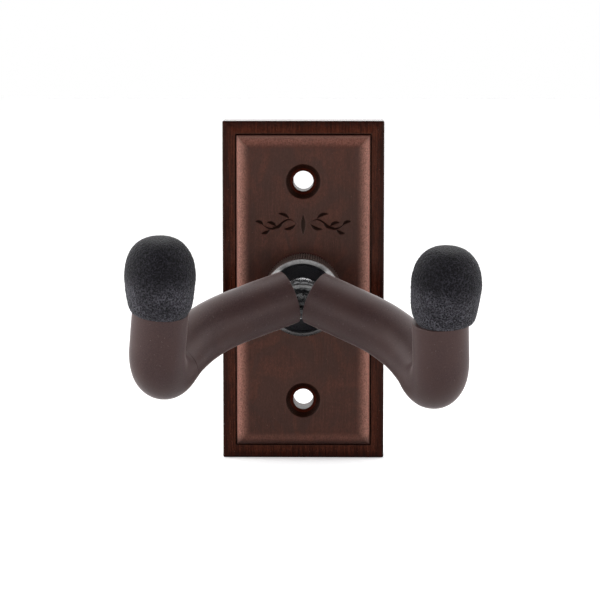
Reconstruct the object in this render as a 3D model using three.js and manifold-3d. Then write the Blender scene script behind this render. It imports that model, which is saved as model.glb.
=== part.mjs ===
// Wall hanger for a guitar: a raised-panel wooden plate, a knurled collar, and a swivelling
// yoke of bent rod with foam sleeves and foam end caps.
// Millimetres. Origin at the centre of the plate's back face, on the wall.
// The object stands out from the wall along -Y, and +Z is up.
import * as THREE from "three";
import { mergeVertices } from "three/addons/utils/BufferGeometryUtils.js";
import Module from "manifold-3d";

const wasm = await Module();
wasm.setup();

// Clearance left between neighbouring pieces.
const GAP = 0.3;

// Wooden plate.
const PLATE_W = 60;
const PLATE_H = 126;
const PLATE_T = 18;
const PLATE_CORNER = 0.6;
const EDGE_EASE = 0.5;
const BORDER = 5.1;
const BEVEL_W = 4.2;
const BEVEL_RISE = 3.4;
const STEP_RISE = 0.7;
const PANEL_CORNER = 0.6;
const PANEL_EASE = 0.2;
const SCREW_Z = 40.75;
const SCREW_R = 3.8;
const SINK_R = 6.5;
const SINK_DEPTH = 3.2;
const COUNTERBORE_R = 15;
const COUNTERBORE_DEPTH = 9.7;
const PLATE_BORE_R = 9.3;

// Knurled collar, fixed in the plate's bore by its spigot.
const COLLAR_R = 14;
const COLLAR_LIP_R = 14.35;
const COLLAR_FACE_R = 12.5;
const COLLAR_BEVEL = 1.7;
const COLLAR_FRONT = 42.4;
const COLLAR_RECESS = 3;
const COLLAR_BACK_CHAMFER = 0.5;
const SPIGOT_R = 9;
const SPIGOT_BACK = 11;
const COLLAR_BORE_R = 6;
const KNURL_TEETH = 64;
const KNURL_ROOT_R = 13.8;
const KNURL_TIP_R = 14.25;
const KNURL_FROM = 19.6;
const KNURL_TO = 39.2;

// Pivot stud and what turns with it.
const STUD_R = 4;
const STUD_HEAD_R = 5;
const STUD_HEAD_BACK = 42.2;
const STUD_BACK = 1.6;
const BUSH_R = 5.7;
const BUSH_BORE_R = 4.3;
const BUSH_FLANGE_R = 7.2;
const BUSH_FLANGE_T = 1;
const BUSH_DEPTH = 12;
const WASHER_R = 7.6;
const WASHER_T = 0.9;
const REAR_WASHER_R = 11;
const REAR_WASHER_T = 1.4;
const SPRING_R = 8.5;
const SPRING_T = 0.7;
const SPRING_DISH = 0.8;
const NUT_FLATS = 13;
const NUT_T = 4.9;
const NUT_INSERT_R = 5.4;
const NUT_INSERT_T = 1.3;
const NUT_LIP_R = 5;
const NUT_LIP_T = 0.3;

// Yoke: corners of the rod's centreline on the right-hand side, and the bend radius at each.
const YOKE_TILT = THREE.MathUtils.degToRad(1.9);
const ROD_R = 4;
const ROD_CENTRE = [0, -50, 3.2];
const ROD_ELBOW = [38.6, -64.6, -11.4];
const ROD_HEEL = [49.75, -91.9, -30.3];
const ROD_TIP = [46.45, -104.5, 20];
const ROD_BACK = -ROD_CENTRE[1] - ROD_R + 0.6;
const CENTRE_BEND_R = 10;
const ELBOW_BEND_R = 45;
const HEEL_BEND_R = 12.4;
const BEND_STEP = THREE.MathUtils.degToRad(11);

// Foam on the yoke. The caps lean away from the gap, and the right-hand one sits further out.
const SLEEVE_R = 9.7;
const SLEEVE_START = 5;
const CAP_LENGTH = 26;
const CAP_BELOW_TIP = 20.4;
const CAP_LEAN = THREE.MathUtils.degToRad(5);
const LEFT_CAP_SHIFT = 0;
const RIGHT_CAP_SHIFT = 1.1;
const CAP_PROFILE = [
  [9.2, -1.2],
  [9.9, 0],
  [10.6, 1.2],
  [11.1, 2.9],
  [11.5, 5.5],
  [11.9, 9],
  [12.15, 13],
  [11.75, 16.6],
  [10.8, 19.8],
  [9.2, 22.5],
  [7, 24.6],
  [4.2, 25.7],
];

// Weld bead: a ring of overlapping drops between the stud's head and the rod.
const BEAD_DROPS = 11;
const BEAD_RING_R = 5;
const BEAD_DROP_R = 1.9;
const BEAD_OUT = 46.2;

function toManifold(geometry) {
  const bare = geometry.clone();
  bare.deleteAttribute("normal");
  bare.deleteAttribute("uv");
  const merged = mergeVertices(bare, 1e-4);
  const vertProperties = new Float32Array(merged.attributes.position.array);
  const triVerts = new Uint32Array(merged.index.array);
  return new wasm.Manifold(new wasm.Mesh({ numProp: 3, vertProperties, triVerts }));
}

function toGeometry(solid) {
  const mesh = solid.getMesh();
  const geometry = new THREE.BufferGeometry();
  geometry.setAttribute("position", new THREE.BufferAttribute(mesh.vertProperties, 3));
  geometry.setIndex(new THREE.BufferAttribute(mesh.triVerts, 1));
  geometry.computeVertexNormals();
  return geometry;
}

function piece(name, geometry, material) {
  const mesh = new THREE.Mesh(geometry, new THREE.MeshStandardMaterial(material));
  mesh.name = name;
  return mesh;
}

// A solid of revolution about Y. Each point is [radius, distance out from the wall].
function turned(points, segments) {
  const closed = [...points, points[0]];
  const profile = closed.map(([r, out]) => new THREE.Vector2(r, -out));
  return new THREE.LatheGeometry(profile.reverse(), segments);
}

function disc(radius, from, to, segments) {
  return turned([[0, from], [radius, from], [radius, to], [0, to]], segments);
}

function ring(inner, outer, from, to, segments) {
  return turned([[inner, from], [outer, from], [outer, to], [inner, to]], segments);
}

function roundedRectangle(width, height, radius) {
  const x = width / 2;
  const z = height / 2;
  const shape = new THREE.Shape();
  shape.moveTo(x, z - radius);
  shape.absarc(x - radius, z - radius, radius, 0, Math.PI / 2, false);
  shape.absarc(-x + radius, z - radius, radius, Math.PI / 2, Math.PI, false);
  shape.absarc(-x + radius, -z + radius, radius, Math.PI, 1.5 * Math.PI, false);
  shape.absarc(x - radius, -z + radius, radius, 1.5 * Math.PI, 2 * Math.PI, false);
  return shape;
}

// A rectangular block standing on the XZ plane, with its outer edges sloped at both ends.
function bevelledBlock(width, height, corner, from, to, slopeWidth, slopeRise) {
  const geometry = new THREE.ExtrudeGeometry(
    roundedRectangle(width - 2 * slopeWidth, height - 2 * slopeWidth, corner),
    {
      depth: to - from - 2 * slopeRise,
      curveSegments: 2,
      bevelEnabled: true,
      bevelThickness: slopeRise,
      bevelSize: slopeWidth,
      bevelSegments: 1,
    },
  );
  geometry.translate(0, 0, from + slopeRise);
  geometry.rotateX(Math.PI / 2);
  return toManifold(geometry);
}

function screwHole() {
  return toManifold(
    turned(
      [
        [0, -1],
        [SCREW_R, -1],
        [SCREW_R, PLATE_T - SINK_DEPTH],
        [SINK_R, PLATE_T],
        [SINK_R + GAP, PLATE_T + 1],
        [0, PLATE_T + 1],
      ],
      36,
    ),
  );
}

function makePlate() {
  const borderFront = PLATE_T - BEVEL_RISE - STEP_RISE;
  const board = bevelledBlock(
    PLATE_W, PLATE_H, PLATE_CORNER, 0, borderFront, EDGE_EASE, EDGE_EASE,
  );
  const panelW = PLATE_W - 2 * BORDER;
  const panelH = PLATE_H - 2 * BORDER;
  const plinthBack = PLATE_T - 2 * BEVEL_RISE;
  const plinth = bevelledBlock(
    panelW, panelH, PANEL_CORNER, EDGE_EASE, borderFront + STEP_RISE, PANEL_EASE, PANEL_EASE,
  );
  const panel = bevelledBlock(
    panelW - 2 * PANEL_EASE, panelH - 2 * PANEL_EASE, PANEL_CORNER, plinthBack, PLATE_T,
    BEVEL_W, BEVEL_RISE,
  );
  let solid = board.add(plinth).add(panel);
  for (const side of [1, -1]) {
    solid = solid.subtract(screwHole().translate([0, 0, side * SCREW_Z]));
  }
  solid = solid.subtract(toManifold(disc(PLATE_BORE_R, -1, PLATE_T + 1, 48)));
  solid = solid.subtract(toManifold(disc(COUNTERBORE_R, -1, COUNTERBORE_DEPTH, 48)));
  return piece("back_plate", toGeometry(solid), {
    color: "#46271f",
    roughness: 0.42,
    metalness: 0,
  });
}

function knurlShape() {
  const shape = new THREE.Shape();
  for (let i = 0; i < KNURL_TEETH; i += 1) {
    const root = (2 * Math.PI * i) / KNURL_TEETH;
    const tip = (2 * Math.PI * (i + 0.5)) / KNURL_TEETH;
    const rootPoint = [KNURL_ROOT_R * Math.cos(root), KNURL_ROOT_R * Math.sin(root)];
    if (i === 0) {
      shape.moveTo(...rootPoint);
    } else {
      shape.lineTo(...rootPoint);
    }
    shape.lineTo(KNURL_TIP_R * Math.cos(tip), KNURL_TIP_R * Math.sin(tip));
  }
  shape.closePath();
  return shape;
}

function makeCollar() {
  const back = PLATE_T + GAP;
  const blank = toManifold(
    turned(
      [
        [COLLAR_BORE_R, SPIGOT_BACK],
        [SPIGOT_R, SPIGOT_BACK],
        [SPIGOT_R, back],
        [COLLAR_R - COLLAR_BACK_CHAMFER, back],
        [COLLAR_R, back + COLLAR_BACK_CHAMFER],
        [COLLAR_R, KNURL_FROM],
        [KNURL_ROOT_R - 0.3, KNURL_FROM],
        [KNURL_ROOT_R - 0.3, KNURL_TO],
        [COLLAR_LIP_R, KNURL_TO],
        [COLLAR_LIP_R, COLLAR_FRONT - COLLAR_BEVEL],
        [COLLAR_FACE_R, COLLAR_FRONT],
        [COLLAR_FACE_R - 0.4, COLLAR_FRONT],
        [COLLAR_FACE_R - 0.8, COLLAR_FRONT - COLLAR_RECESS],
        [COLLAR_BORE_R, COLLAR_FRONT - COLLAR_RECESS],
      ],
      48,
    ),
  );
  const teeth = new THREE.ExtrudeGeometry(knurlShape(), {
    depth: KNURL_TO - KNURL_FROM + 0.2,
    bevelEnabled: false,
  });
  teeth.translate(0, 0, KNURL_FROM - 0.1);
  teeth.rotateX(Math.PI / 2);
  const core = toManifold(disc(COLLAR_R - 1.5, 0, COLLAR_FRONT, 48));
  const knurl = toManifold(teeth).subtract(core);
  return piece("swivel_collar", toGeometry(blank.add(knurl)), {
    color: "#1c1b1c",
    roughness: 0.34,
    metalness: 0.85,
  });
}

// A plastic bush that lines one end of the collar's bore, with a flange outside it.
function bushing(mouth, outward) {
  const flangeFrom = mouth + outward * GAP;
  const flangeTo = flangeFrom + outward * BUSH_FLANGE_T;
  const inner = mouth - outward * BUSH_DEPTH;
  const points = [
    [BUSH_BORE_R, inner],
    [BUSH_R, inner],
    [BUSH_R, flangeFrom],
    [BUSH_FLANGE_R, flangeFrom],
    [BUSH_FLANGE_R, flangeTo],
    [BUSH_BORE_R, flangeTo],
  ];
  return turned(outward > 0 ? points : points.reverse(), 40);
}

function makeBushings() {
  const looks = { color: "#e8e4da", roughness: 0.5, metalness: 0 };
  const front = bushing(COLLAR_FRONT - COLLAR_RECESS, 1);
  const rear = bushing(SPIGOT_BACK, -1);
  return [piece("front_bushing", front, looks), piece("rear_bushing", rear, looks)];
}

function makePivotStud() {
  const geometry = turned(
    [
      [0, STUD_BACK],
      [STUD_R - 0.8, STUD_BACK],
      [STUD_R, STUD_BACK + 0.8],
      [STUD_R, STUD_HEAD_BACK],
      [STUD_HEAD_R, STUD_HEAD_BACK],
      [STUD_HEAD_R, ROD_BACK],
      [0, ROD_BACK],
    ],
    40,
  );
  const solid = toManifold(geometry).subtract(rodClearance());
  return piece("pivot_stud", toGeometry(solid), {
    color: "#8d8f92",
    roughness: 0.35,
    metalness: 0.9,
  });
}

function makeThrustWasher() {
  const front = STUD_HEAD_BACK - GAP;
  return piece(
    "thrust_washer",
    ring(BUSH_BORE_R, WASHER_R, front - WASHER_T, front, 48),
    { color: "#b9babc", roughness: 0.25, metalness: 1 },
  );
}

// Washers, nut and nylon insert, in order from the collar's rear bush back to the wall.
function makeRearStack() {
  const steel = { color: "#a9abad", roughness: 0.35, metalness: 0.95 };
  const washerFront = SPIGOT_BACK - GAP - BUSH_FLANGE_T - GAP;
  const washerBack = washerFront - REAR_WASHER_T;
  const washer = ring(BUSH_BORE_R, REAR_WASHER_R, washerBack, washerFront, 48);
  const springFront = washerBack - GAP;
  const spring = turned(
    [
      [BUSH_BORE_R, springFront - SPRING_T - SPRING_DISH],
      [SPRING_R, springFront - SPRING_T],
      [SPRING_R, springFront],
      [BUSH_BORE_R, springFront - SPRING_DISH],
    ],
    40,
  );
  const nutFront = springFront - SPRING_T - SPRING_DISH - GAP;
  return [
    piece("rear_washer", washer, steel),
    piece("spring_washer", spring, { ...steel, color: "#8a8c8f" }),
    piece("lock_nut", makeNutGeometry(nutFront), steel),
    piece("nut_insert", makeNutInsertGeometry(nutFront), {
      color: "#2d5a9c",
      roughness: 0.5,
      metalness: 0,
    }),
  ];
}

function makeNutGeometry(front) {
  const across = NUT_FLATS / Math.cos(Math.PI / 6) / 2;
  const hex = new THREE.CylinderGeometry(across, across, NUT_T, 6);
  hex.translate(0, -front + NUT_T / 2, 0);
  const rounding = toManifold(
    turned(
      [
        [0, front - NUT_T],
        [across - 1, front - NUT_T],
        [across + 0.2, front - NUT_T + 0.7],
        [across + 0.2, front - 0.7],
        [across - 1, front],
        [0, front],
      ],
      48,
    ),
  );
  const back = front - NUT_T;
  const bore = toManifold(disc(BUSH_BORE_R, back - 1, front + 1, 32));
  const pocketTo = back + NUT_LIP_T + NUT_INSERT_T + 2 * GAP;
  const pocket = toManifold(disc(NUT_INSERT_R + GAP, back + NUT_LIP_T, pocketTo, 40));
  const mouth = toManifold(disc(NUT_LIP_R, back - 1, back + NUT_LIP_T + 0.1, 40));
  return toGeometry(
    toManifold(hex).intersect(rounding).subtract(bore).subtract(pocket).subtract(mouth),
  );
}

function makeNutInsertGeometry(front) {
  const from = front - NUT_T + NUT_LIP_T + GAP;
  return ring(BUSH_BORE_R, NUT_INSERT_R, from, from + NUT_INSERT_T, 40);
}

// The rod's centreline: straight runs joined by round bends.
class RodPath {
  constructor(corners, radii) {
    this.parts = [];
    this.length = 0;
    let from = corners[0];
    for (let i = 1; i < corners.length - 1; i += 1) {
      const back = corners[i - 1].clone().sub(corners[i]).normalize();
      const on = corners[i + 1].clone().sub(corners[i]).normalize();
      const half = back.angleTo(on) / 2;
      const radius = radii[i - 1];
      const cut = radius / Math.tan(half);
      const start = corners[i].clone().addScaledVector(back, cut);
      const middle = back.clone().add(on).normalize();
      const centre = corners[i].clone().addScaledVector(middle, radius / Math.sin(half));
      const turn = Math.PI - 2 * half;
      this.addRun(from, start);
      this.addBend(centre, start, back.negate(), radius, turn);
      from = corners[i].clone().addScaledVector(on, cut);
    }
    this.addRun(from, corners[corners.length - 1]);
  }

  addRun(from, to) {
    const size = from.distanceTo(to);
    const along = to.clone().sub(from).normalize();
    const at = (s) => from.clone().addScaledVector(along, s);
    this.parts.push({ start: this.length, size, steps: 1, at });
    this.length += size;
  }

  addBend(centre, start, along, radius, turn) {
    const out = start.clone().sub(centre).normalize();
    const at = (s) => centre
      .clone()
      .addScaledVector(out, radius * Math.cos(s / radius))
      .addScaledVector(along, radius * Math.sin(s / radius));
    const size = radius * turn;
    this.parts.push({ start: this.length, size, steps: Math.ceil(turn / BEND_STEP), at });
    this.length += size;
  }

  pointAt(s) {
    const part = this.parts.findLast((one) => s >= one.start) ?? this.parts[0];
    return part.at(s - part.start);
  }

  // Distances along the rod where a section is needed, from one distance to another.
  stations(from, to) {
    const list = [from, to];
    for (const { start, size, steps } of this.parts) {
      for (let i = 0; i <= steps; i += 1) {
        list.push(start + (size * i) / steps);
      }
    }
    const kept = list.filter((s) => s >= from && s <= to).sort((a, b) => a - b);
    return kept.filter((s, i) => i === 0 || s - kept[i - 1] > 0.05);
  }
}

// A stretch of the rod's centreline, with one section at each of its stations.
class Stretch extends THREE.Curve {
  constructor(path, from, to) {
    super();
    this.path = path;
    this.list = path.stations(from, to);
    this.steps = this.list.length - 1;
  }

  getUtoTmapping(u) {
    return u;
  }

  getPoint(t) {
    const place = Math.min(Math.max(t, 0), 1) * this.steps;
    const i = Math.min(Math.floor(place), this.steps - 1);
    const s = this.list[i] + (this.list[i + 1] - this.list[i]) * (place - i);
    return this.path.pointAt(s);
  }
}

function circleShape(radius, boreRadius) {
  const shape = new THREE.Shape();
  shape.absarc(0, 0, radius, 0, 2 * Math.PI, false);
  if (boreRadius > 0) {
    const bore = new THREE.Path();
    bore.absarc(0, 0, boreRadius, 0, 2 * Math.PI, true);
    shape.holes.push(bore);
  }
  return shape;
}

function sweptTube(path, from, to, radius, boreRadius, sides) {
  const curve = new Stretch(path, from, to);
  return new THREE.ExtrudeGeometry(circleShape(radius, boreRadius), {
    steps: curve.steps,
    curveSegments: sides / 2,
    extrudePath: curve,
  });
}

function rodPath() {
  const right = [ROD_ELBOW, ROD_HEEL, ROD_TIP].map((p) => new THREE.Vector3(...p));
  const mirror = new THREE.Vector3(-1, 1, 1);
  const left = right.map((p) => p.clone().multiply(mirror)).reverse();
  const centre = new THREE.Vector3(...ROD_CENTRE);
  const side = [ELBOW_BEND_R, HEEL_BEND_R];
  return new RodPath(
    [...left, centre, ...right],
    [...side.toReversed(), CENTRE_BEND_R, ...side],
  );
}

const PATH = rodPath();
const MIDDLE = PATH.length / 2;

function rodClearance() {
  const reach = 2 * COLLAR_BORE_R + ROD_R;
  return toManifold(sweptTube(PATH, MIDDLE - reach, MIDDLE + reach, ROD_R + GAP, 0, 20));
}

function sleeveClearance(side) {
  const near = MIDDLE + side * (SLEEVE_START - GAP);
  const far = near + side * 2 * BEAD_RING_R;
  const tube = sweptTube(
    PATH, Math.min(near, far), Math.max(near, far), SLEEVE_R + GAP, 0, 28,
  );
  return toManifold(tube);
}

function makeRod() {
  return piece("yoke_rod", sweptTube(PATH, 0, PATH.length, ROD_R, 0, 16), {
    color: "#121214",
    roughness: 0.18,
    metalness: 0.7,
  });
}

function makeWeldBead() {
  const drops = [];
  for (let i = 0; i < BEAD_DROPS; i += 1) {
    const angle = (2 * Math.PI * i) / BEAD_DROPS;
    const drop = new THREE.SphereGeometry(BEAD_DROP_R, 8, 5);
    drop.translate(
      BEAD_RING_R * Math.cos(angle),
      -BEAD_OUT,
      BEAD_RING_R * Math.sin(angle),
    );
    drops.push(toManifold(drop));
  }
  const hollow = toManifold(disc(STUD_HEAD_R + GAP, STUD_HEAD_BACK, ROD_BACK + GAP, 40));
  const core = toManifold(disc(BEAD_RING_R - 1.2, STUD_HEAD_BACK, BEAD_OUT + STUD_R, 32));
  const solid = drops
    .reduce((all, drop) => all.add(drop))
    .subtract(rodClearance())
    .subtract(hollow)
    .subtract(core)
    .subtract(sleeveClearance(1))
    .subtract(sleeveClearance(-1));
  return piece("weld_bead", toGeometry(solid), {
    color: "#6f7072",
    roughness: 0.3,
    metalness: 0.9,
  });
}

function makeSleeve(name, from, to) {
  return piece(name, sweptTube(PATH, from, to, SLEEVE_R, ROD_R + GAP, 24), {
    color: "#473838",
    roughness: 0.85,
    metalness: 0,
  });
}

// A solid of revolution about +Y, stood at a point of the rod with its axis along the rod.
function placed(geometry, base, side, out) {
  const front = new THREE.Vector3().crossVectors(side, out);
  geometry.applyMatrix4(new THREE.Matrix4().makeBasis(side, out, front));
  geometry.translate(base.x, base.y, base.z);
  return toManifold(geometry);
}

// A foam cap pushed over one end of the rod. It leans, but its foot is flush with the sleeve.
function makeCap(name, tip, inward, shift) {
  const out = tip.clone().sub(inward).normalize();
  const side = new THREE.Vector3(Math.sign(tip.x), 0, 0);
  side.addScaledVector(out, -side.dot(out)).normalize();
  const base = tip.clone().addScaledVector(out, -CAP_BELOW_TIP);
  const hinge = new THREE.Vector3().crossVectors(out, side).normalize();
  const leanSide = side.clone().applyAxisAngle(hinge, CAP_LEAN);
  const leanOut = out.clone().applyAxisAngle(hinge, CAP_LEAN);
  const leanBase = base.clone().addScaledVector(side, shift);

  const [footR, foot] = CAP_PROFILE[0];
  const profile = [[0, foot], ...CAP_PROFILE, [0, CAP_LENGTH]];
  const points = profile.map(([r, h]) => new THREE.Vector2(r, h));
  const boreLength = CAP_BELOW_TIP + 2 * GAP;
  const bore = new THREE.CylinderGeometry(ROD_R + GAP, ROD_R + GAP, boreLength, 24);
  bore.translate(0, boreLength / 2 - GAP, 0);
  const underT = CAP_LENGTH / 4;
  const under = new THREE.CylinderGeometry(2 * footR, 2 * footR, underT, 24);
  under.translate(0, -underT / 2, 0);
  const solid = placed(new THREE.LatheGeometry(points, 36), leanBase, leanSide, leanOut)
    .subtract(placed(bore, base, side, out))
    .subtract(placed(under, base, side, out));
  return piece(name, toGeometry(solid), {
    color: "#353338",
    roughness: 0.95,
    metalness: 0,
  });
}

function makeYoke() {
  const yoke = new THREE.Group();
  yoke.name = "yoke";
  const end = PATH.length;
  const short = CAP_BELOW_TIP + GAP;
  yoke.add(
    makePivotStud(),
    makeThrustWasher(),
    ...makeRearStack(),
    makeWeldBead(),
    makeRod(),
    makeSleeve("left_sleeve", short, MIDDLE - SLEEVE_START),
    makeSleeve("right_sleeve", MIDDLE + SLEEVE_START, end - short),
    makeCap("left_end_cap", PATH.pointAt(0), PATH.pointAt(1), LEFT_CAP_SHIFT),
    makeCap("right_end_cap", PATH.pointAt(end), PATH.pointAt(end - 1), RIGHT_CAP_SHIFT),
  );
  yoke.rotation.y = YOKE_TILT;
  return yoke;
}

const hanger = new THREE.Group();
hanger.name = "guitar_hanger";
hanger.add(makePlate(), makeCollar(), ...makeBushings(), makeYoke());

export default hanger;
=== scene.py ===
"""Looks for a wall guitar hanger: a dark wooden plate, a knurled collar and a swivelling yoke
of bent rod in foam. Positions are worked out in millimetres and turned into metres when a
mesh is made. The object stands out from the wall along -Y, and +Z is up."""

import math

import bmesh
import bpy
from mathutils import Matrix, Vector, noise


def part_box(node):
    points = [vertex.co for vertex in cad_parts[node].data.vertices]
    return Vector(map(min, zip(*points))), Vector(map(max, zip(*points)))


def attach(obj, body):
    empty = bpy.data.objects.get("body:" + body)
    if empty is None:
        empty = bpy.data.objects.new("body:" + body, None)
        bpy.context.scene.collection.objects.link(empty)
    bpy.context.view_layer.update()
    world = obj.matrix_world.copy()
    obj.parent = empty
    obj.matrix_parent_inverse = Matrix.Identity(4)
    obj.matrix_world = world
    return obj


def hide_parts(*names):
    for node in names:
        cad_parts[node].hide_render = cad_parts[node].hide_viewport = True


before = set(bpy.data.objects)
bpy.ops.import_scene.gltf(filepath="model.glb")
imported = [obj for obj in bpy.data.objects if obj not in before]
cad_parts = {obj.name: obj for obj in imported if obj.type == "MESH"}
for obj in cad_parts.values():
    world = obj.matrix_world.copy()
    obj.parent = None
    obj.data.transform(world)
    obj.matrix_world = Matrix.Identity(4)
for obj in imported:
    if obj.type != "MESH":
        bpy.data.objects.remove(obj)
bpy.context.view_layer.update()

MM = 0.001
TAU = 2 * math.pi


def low_high(node):
    """A CAD node's lowest and highest corners, in millimetres."""
    low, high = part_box(node)
    return Vector(low) / MM, Vector(high) / MM


PLATE_LOW, PLATE_HIGH = low_high("back_plate")
PLATE_W = PLATE_HIGH.x - PLATE_LOW.x
PLATE_H = PLATE_HIGH.z - PLATE_LOW.z
PLATE_T = PLATE_HIGH.y - PLATE_LOW.y
COLLAR_LOW, COLLAR_HIGH = low_high("swivel_collar")
COLLAR_FRONT = -COLLAR_LOW.y
COLLAR_LIP_R = (COLLAR_HIGH.x - COLLAR_LOW.x) / 2
COLLAR_RECESS = 3.0

# The plate's face and holes, as in the CAD model.
BORDER = 5.1
BEVEL_W = 4.2
BEVEL_RISE = 3.4
STEP_RISE = 0.7
SCREW_Z = 40.75
SCREW_R = 3.8
SINK_R = 6.5
SINK_DEPTH = 3.2
POCKET_R = 15.0
POCKET_DEPTH = 9.7
PLATE_BORE_R = 9.3

# Sides of the round pieces and of the shapes that cut them.
RING_SIDES = 128
CUTTER_SIDES = 96

# The rod's centreline on the right-hand side, and the bend radius at each corner.
YOKE_TILT = math.radians(1.9)
ROD_R = 4.0
ROD_CENTRE = (0, -50, 3.2)
ROD_ELBOW = (38.6, -64.6, -11.4)
ROD_HEEL = (49.75, -91.9, -30.3)
ROD_TIP = (46.45, -104.5, 20)
CENTRE_BEND_R = 10.0
ELBOW_BEND_R = 45.0
HEEL_BEND_R = 12.4

# The foam. Each cap leans away from the gap, and the right-hand one sits further out.
SLEEVE_R = 9.7
SLEEVE_START = 5.0
CAP_BELOW_TIP = 20.4
CAP_LEAN = math.radians(5)
CAP_SHIFT = {"left": 0.0, "right": 1.1}

# Clearance between pieces, and the smaller one left between a cap and its sleeve.
GAP = 0.3
CAP_TOUCH = 0.05


# ---- meshes


def new_object(name, points, faces):
    """A smooth mesh object from points in millimetres."""
    mesh = bpy.data.meshes.new(name)
    mesh.from_pydata([Vector(p) * MM for p in points], [], faces)
    mesh.validate()
    bm = bmesh.new()
    bm.from_mesh(mesh)
    bmesh.ops.recalc_face_normals(bm, faces=bm.faces)
    bm.to_mesh(mesh)
    bm.free()
    mesh.polygons.foreach_set("use_smooth", [True] * len(mesh.polygons))
    obj = bpy.data.objects.new(name, mesh)
    bpy.context.scene.collection.objects.link(obj)
    return obj


FLATS_WEIGHT = 90


def crease(obj, degrees=32):
    """Keeps edges that turn more than this sharp, and the flats beside round edges flat."""
    obj.data.set_sharp_from_angle(angle=math.radians(degrees))
    weighted = obj.modifiers.new("flats", "WEIGHTED_NORMAL")
    weighted.keep_sharp = True
    weighted.weight = FLATS_WEIGHT
    return obj


def apply_modifiers(obj):
    """Replaces the object's mesh by the one its modifiers make."""
    graph = bpy.context.evaluated_depsgraph_get()
    mesh = bpy.data.meshes.new_from_object(obj.evaluated_get(graph))
    obj.modifiers.clear()
    obj.data = mesh


def combine(obj, other, operation, overlapping=False):
    """Cuts or crosses the object with another one, which is used up."""
    cut = obj.modifiers.new("combine", "BOOLEAN")
    cut.use_self = overlapping
    cut.operation = operation
    cut.solver = "EXACT"
    cut.object = other
    apply_modifiers(obj)
    bpy.data.objects.remove(other)


class StraightPath:
    """The pivot's axis. A place along it is the distance out from the wall."""

    def spot(self, s):
        return Vector((0, -s, 0)), Vector((1, 0, 0)), Vector((0, 0, 1))


class RodPath:
    """The rod's centreline: straight runs joined by round bends."""

    STEP = 0.25

    def __init__(self, corners, radii):
        self.parts = []
        self.length = 0
        start = corners[0]
        for i, radius in enumerate(radii, 1):
            back = (corners[i - 1] - corners[i]).normalized()
            on = (corners[i + 1] - corners[i]).normalized()
            half = back.angle(on) / 2
            cut = radius / math.tan(half)
            begin = corners[i] + back * cut
            middle = (back + on).normalized()
            centre = corners[i] + middle * (radius / math.sin(half))
            self.add_run(start, begin)
            self.add_bend(centre, begin, -back, radius, math.pi - 2 * half)
            start = corners[i] + on * cut
        self.add_run(start, corners[-1])
        self.make_sides()

    def add_run(self, start, end):
        along = (end - start).normalized()
        self.parts.append((self.length, lambda s: (start + along * s, along)))
        self.length += (end - start).length

    def add_bend(self, centre, start, along, radius, turn):
        out = (start - centre).normalized()

        def at(s):
            a = s / radius
            point = centre + out * (radius * math.cos(a)) + along * (radius * math.sin(a))
            return point, along * math.cos(a) - out * math.sin(a)

        self.parts.append((self.length, at))
        self.length += radius * turn

    def at(self, s):
        start, part = [p for p in self.parts if s >= p[0] or p[0] == 0][-1]
        return part(s - start)

    def make_sides(self):
        """A side direction at each step, carried along without twisting."""
        side = self.at(0)[1].orthogonal().normalized()
        self.sides = []
        for i in range(int(self.length / self.STEP) + 2):
            along = self.at(i * self.STEP)[1]
            side = (side - along * side.dot(along)).normalized()
            self.sides.append(side)

    def spot(self, s):
        point, along = self.at(s)
        i = min(max(round(s / self.STEP), 0), len(self.sides) - 1)
        side = self.sides[i]
        side = (side - along * side.dot(along)).normalized()
        return point, side, along.cross(side)


NO_RADIUS = 1e-6


def around(name, path, profile, sides, closed=False, shape=None, turn=None):
    """A surface of rings round a path. Each profile entry is (place along the path, radius),
    and shape may change the radius of each point by its place and angle."""
    points, rings = [], []
    for s, radius in profile:
        centre, side, up = path.spot(s)
        count = sides if radius > NO_RADIUS else 1
        rings.append(range(len(points), len(points) + count))
        for k in range(count):
            a = TAU * k / sides
            r = shape(s, radius, a) if shape else radius
            points.append(centre + side * (r * math.cos(a)) + up * (r * math.sin(a)))
    if turn:
        points = [turn @ p for p in points]
    pairs = list(zip(rings, rings[1:]))
    if closed:
        pairs.append((rings[-1], rings[0]))
    faces = []
    for one, two in pairs:
        if len(one) == 1 and len(two) == 1:
            continue
        for k in range(sides):
            n = (k + 1) % sides
            if len(one) == 1:
                faces.append((one[0], two[k], two[n]))
            elif len(two) == 1:
                faces.append((one[k], one[n], two[0]))
            else:
                faces.append((one[k], one[n], two[n], two[k]))
    return new_object(name, points, faces)


def arc(centre, radius, start, end, steps):
    """Points of a round edge as (place, radius) pairs, from angle start to end in degrees."""
    spots = []
    for i in range(steps + 1):
        a = math.radians(start + (end - start) * i / steps)
        spots.append((centre[0] + radius * math.cos(a), centre[1] + radius * math.sin(a)))
    return spots


def spread(start, end, step):
    """Evenly spaced places from start to end, no more than a step apart."""
    count = max(1, math.ceil(abs(end - start) / step))
    return [start + (end - start) * i / count for i in range(count + 1)]


AXIS = StraightPath()
TILT = Matrix.Rotation(YOKE_TILT, 3, "Y")


def rod_path():
    """The whole rod, mirrored about its centre."""
    right = [Vector(p) for p in (ROD_ELBOW, ROD_HEEL, ROD_TIP)]
    left = [Vector((-p.x, p.y, p.z)) for p in reversed(right)]
    radii = [HEEL_BEND_R, ELBOW_BEND_R, CENTRE_BEND_R, ELBOW_BEND_R, HEEL_BEND_R]
    return RodPath([*left, Vector(ROD_CENTRE), *right], radii)


ROD = rod_path()


def ring_piece(name, inner, outer, back, front, edge):
    """A flat ring that turns with the yoke, with eased outer edges."""
    profile = [(back, inner)]
    profile += arc((back + edge, outer - edge), edge, 180, 90, 4)
    profile += arc((front - edge, outer - edge), edge, 90, 0, 4)
    profile += [(front, inner)]
    return crease(around(name, AXIS, profile, RING_SIDES, closed=True, turn=TILT))


# ---- materials


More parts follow.
